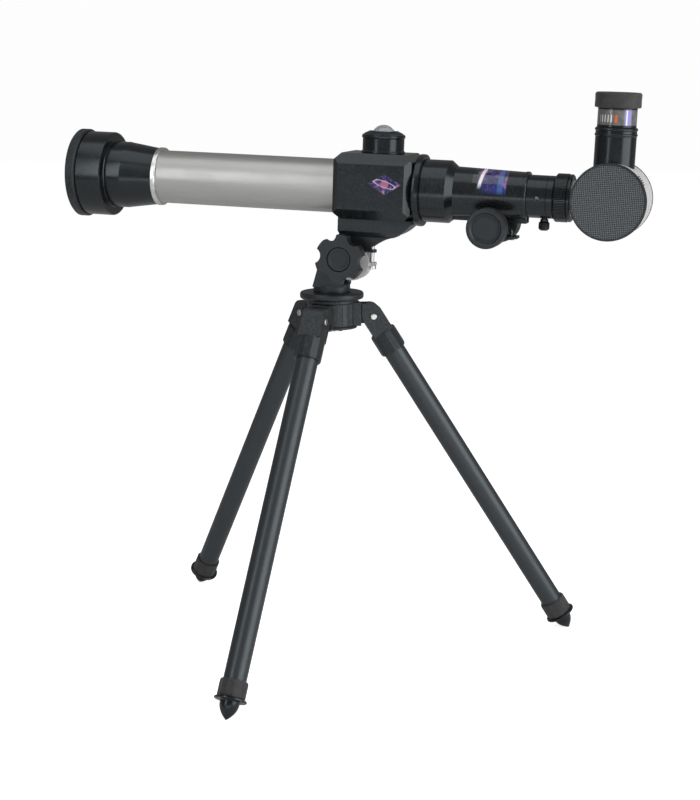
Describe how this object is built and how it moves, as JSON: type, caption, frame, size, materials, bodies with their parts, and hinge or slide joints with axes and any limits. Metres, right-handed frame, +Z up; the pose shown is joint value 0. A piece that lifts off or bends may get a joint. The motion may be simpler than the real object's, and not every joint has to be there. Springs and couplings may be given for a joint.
{
  "type": "telescope on tripod",
  "caption": "Small refracting telescope with right-angle eyepiece, rack focuser and compass, on a tilting head over a folding table tripod.",
  "frame": {"origin": "on the table, under the middle of the whole object's box", "axes": "+Z up; the telescope points its front lens towards -X; +Y is away from the star knob"},
  "size_m": [0.4181, 0.3014, 0.4039],
  "materials": {
    "gloss_black": "gloss",
    "matte_black": "matte",
    "tube_paint": "satin",
    "bright_ring": "satin",
    "dark_grey_plastic": "satin",
    "leg_paint": "satin",
    "cast_alloy": "matte",
    "steel": "satin",
    "brass": "polished",
    "rubber": "matte",
    "glass": "clear",
    "mirror": "polished",
    "needle_red": "satin",
    "badge_print": "gloss",
    "label_print": "gloss"
  },
  "bodies": {
    "hub": {"hub": "dark_grey_plastic", "leg_pins": "steel"},
    "front_leg": {"front_leg_yoke": "dark_grey_plastic", "front_leg_collar": "dark_grey_plastic", "front_leg_tube": "leg_paint", "front_leg_foot": "rubber"},
    "right_leg": {"right_leg_yoke": "dark_grey_plastic", "right_leg_collar": "dark_grey_plastic", "right_leg_tube": "leg_paint", "right_leg_foot": "rubber"},
    "left_leg": {"left_leg_yoke": "dark_grey_plastic", "left_leg_collar": "dark_grey_plastic", "left_leg_tube": "leg_paint", "left_leg_foot": "rubber"},
    "pan_head": {"pan_head": "dark_grey_plastic", "pan_disc": "dark_grey_plastic", "pan_bolt": "steel", "tilt_bolt": "steel"},
    "star_knob": {"star_knob": "dark_grey_plastic", "star_knob_cap": "matte_black"},
    "pinion": {"pinion_shaft": "steel", "focus_knob_left": "gloss_black", "focus_knob_right": "gloss_black"},
    "drawtube": {"drawtube": "gloss_black", "focus_rack": "steel", "side_screw": "steel"},
    "thumbscrew": {"thumbscrew": "gloss_black"},
    "diagonal": {"diagonal_collar": "gloss_black", "diagonal_body": "bright_ring", "diagonal_face_left": "dark_grey_plastic", "diagonal_face_right": "dark_grey_plastic", "diagonal_mirror": "mirror", "eyepiece_holder": "gloss_black"},
    "eyepiece": {"eyepiece_barrel": "gloss_black", "eyecup": "rubber", "eye_lens": "glass", "field_lens": "glass"},
    "compass_needle": {"compass_needle": "needle_red"},
    "telescope": {"objective_ring": "dark_grey_plastic", "dew_hood": "gloss_black", "lens_retainer": "matte_black", "objective_lens": "glass", "trim_ring": "bright_ring", "main_tube": "tube_paint", "body_shell_left": "gloss_black", "body_shell_right": "gloss_black", "body_badge": "badge_print", "saddle": "matte_black", "tilt_knuckle": "cast_alloy", "clamp_bolt": "steel", "clamp_nut": "dark_grey_plastic", "rear_ring": "gloss_black", "focuser_body": "gloss_black", "focuser_label": "label_print", "pinion_cover": "gloss_black", "cover_screws": "steel", "compass_housing": "gloss_black", "compass_bezel": "gloss_black", "compass_pivot": "brass", "compass_dome": "glass"}
  },
  "joints": [
    {"name": "front_leg_fold", "type": "hinge", "parent": "hub", "child": "front_leg", "pos_m": [-0.01882, 0.00589, 0.24486], "axis": [0.9942, -0.108, 0], "range_deg": [0, 32]},
    {"name": "right_leg_fold", "type": "hinge", "parent": "hub", "child": "right_leg", "pos_m": [0.01136, 0.04713, 0.24486], "axis": [-0.4035, 0.915, 0], "range_deg": [0, 32]},
    {"name": "left_leg_fold", "type": "hinge", "parent": "hub", "child": "left_leg", "pos_m": [-0.03944, 0.05264, 0.24486], "axis": [-0.5906, -0.807, 0], "range_deg": [0, 32]},
    {"name": "pan", "type": "hinge", "parent": "hub", "child": "pan_head", "pos_m": [-0.01563, 0.03522, 0.25766], "axis": [0, 0, 1], "continuous": true},
    {"name": "tilt", "type": "hinge", "parent": "pan_head", "child": "telescope", "pos_m": [-0.00333, 0.03522, 0.28856], "axis": [0, 1, 0], "range_deg": [-30, 55]},
    {"name": "tilt_lock", "type": "hinge", "parent": "pan_head", "child": "star_knob", "pos_m": [-0.00333, 0.03522, 0.28856], "axis": [0, -1, 0], "range_deg": [0, 270]},
    {"name": "focus", "type": "slide", "parent": "telescope", "child": "drawtube", "axis": [0.9995, 0, -0.0323], "range_m": [-0.005, 0.03]},
    {"name": "focus_shaft", "type": "hinge", "parent": "telescope", "child": "pinion", "pos_m": [0.10221, 0.03522, 0.31307], "axis": [0, 1, 0], "range_deg": [-360, 360]},
    {"name": "thumb_lock", "type": "hinge", "parent": "drawtube", "child": "thumbscrew", "pos_m": [0.13725, 0.03522, 0.31354], "axis": [-0.0323, 0, -0.9995], "range_deg": [0, 360]},
    {"name": "diagonal_turn", "type": "hinge", "parent": "drawtube", "child": "diagonal", "pos_m": [0.18306, 0.03522, 0.33167], "axis": [0.9995, 0, -0.0323], "continuous": true},
    {"name": "eyepiece_lift", "type": "slide", "parent": "diagonal", "child": "eyepiece", "axis": [0.0323, 0, 0.9995], "range_m": [0, 0.03]},
    {"name": "needle_spin", "type": "hinge", "parent": "telescope", "child": "compass_needle", "pos_m": [0.0225, 0.03522, 0.37277], "axis": [0.0323, 0, 0.9995], "continuous": true}
  ],
  "couplings": [
    {"joint": "focus_shaft", "follows": "focus", "rad_per_m": 200}
  ]
}
